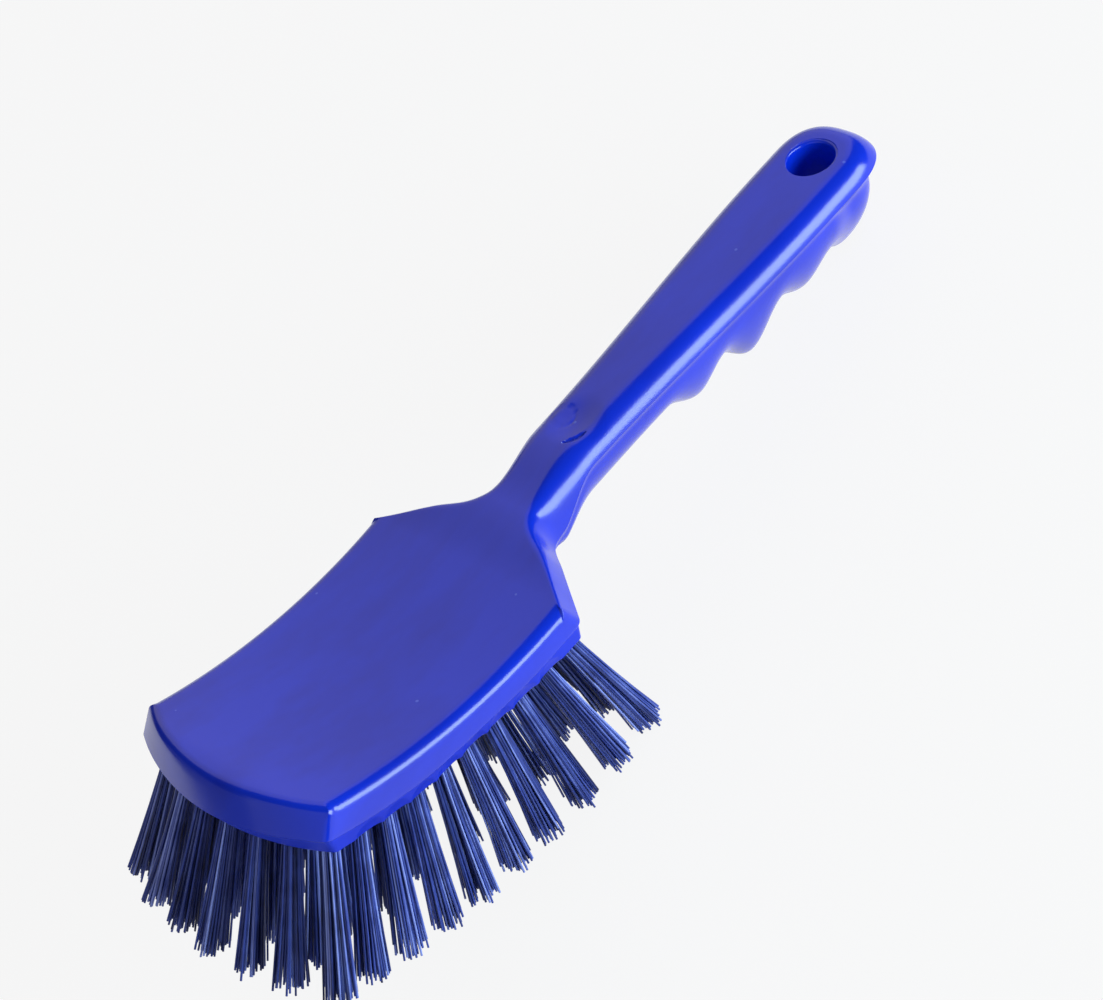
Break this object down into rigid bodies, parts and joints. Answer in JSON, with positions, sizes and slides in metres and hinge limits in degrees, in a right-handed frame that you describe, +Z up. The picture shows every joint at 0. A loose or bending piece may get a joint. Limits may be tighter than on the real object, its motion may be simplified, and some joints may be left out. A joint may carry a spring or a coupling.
{
  "type": "hand scrubbing brush",
  "caption": "Hand scrubbing brush: moulded plastic body with a curved head, finger-grip handle and hanging hole, set with fanned tufts of stiff filament.",
  "frame": {"origin": "centre of the bounding box's base, on the surface that the brush rests on", "axes": "+X from the front edge of the head to the butt of the handle, +Y across the head, +Z up"},
  "size_m": [0.2934, 0.091, 0.0845],
  "materials": {
    "blue_polypropylene": "gloss, injection moulded polypropylene",
    "navy_polyester": "satin, extruded polyester filament"
  },
  "bodies": {
    "root": {"brush_body": "blue_polypropylene", "tuft_01": "navy_polyester", "tuft_02": "navy_polyester", "tuft_03": "navy_polyester", "tuft_04": "navy_polyester", "tuft_05": "navy_polyester", "tuft_06": "navy_polyester", "tuft_07": "navy_polyester", "tuft_08": "navy_polyester", "tuft_09": "navy_polyester", "tuft_10": "navy_polyester", "tuft_11": "navy_polyester", "tuft_12": "navy_polyester", "tuft_13": "navy_polyester", "tuft_14": "navy_polyester", "tuft_15": "navy_polyester", "tuft_16": "navy_polyester", "tuft_17": "navy_polyester", "tuft_18": "navy_polyester", "tuft_19": "navy_polyester", "tuft_20": "navy_polyester", "tuft_21": "navy_polyester", "tuft_22": "navy_polyester", "tuft_23": "navy_polyester", "tuft_24": "navy_polyester", "tuft_25": "navy_polyester", "tuft_26": "navy_polyester", "tuft_27": "navy_polyester", "tuft_28": "navy_polyester", "tuft_29": "navy_polyester", "tuft_30": "navy_polyester", "tuft_31": "navy_polyester", "tuft_32": "navy_polyester", "tuft_33": "navy_polyester", "tuft_34": "navy_polyester", "tuft_35": "navy_polyester", "tuft_36": "navy_polyester", "tuft_37": "navy_polyester", "tuft_38": "navy_polyester", "tuft_39": "navy_polyester", "tuft_40": "navy_polyester", "tuft_41": "navy_polyester", "tuft_42": "navy_polyester", "tuft_43": "navy_polyester", "tuft_44": "navy_polyester", "tuft_45": "navy_polyester", "tuft_46": "navy_polyester", "tuft_47": "navy_polyester", "tuft_48": "navy_polyester", "tuft_49": "navy_polyester", "tuft_50": "navy_polyester", "tuft_51": "navy_polyester", "tuft_52": "navy_polyester", "tuft_53": "navy_polyester", "tuft_54": "navy_polyester", "tuft_55": "navy_polyester", "tuft_56": "navy_polyester", "tuft_57": "navy_polyester", "tuft_58": "navy_polyester"}
  },
  "joints": []
}
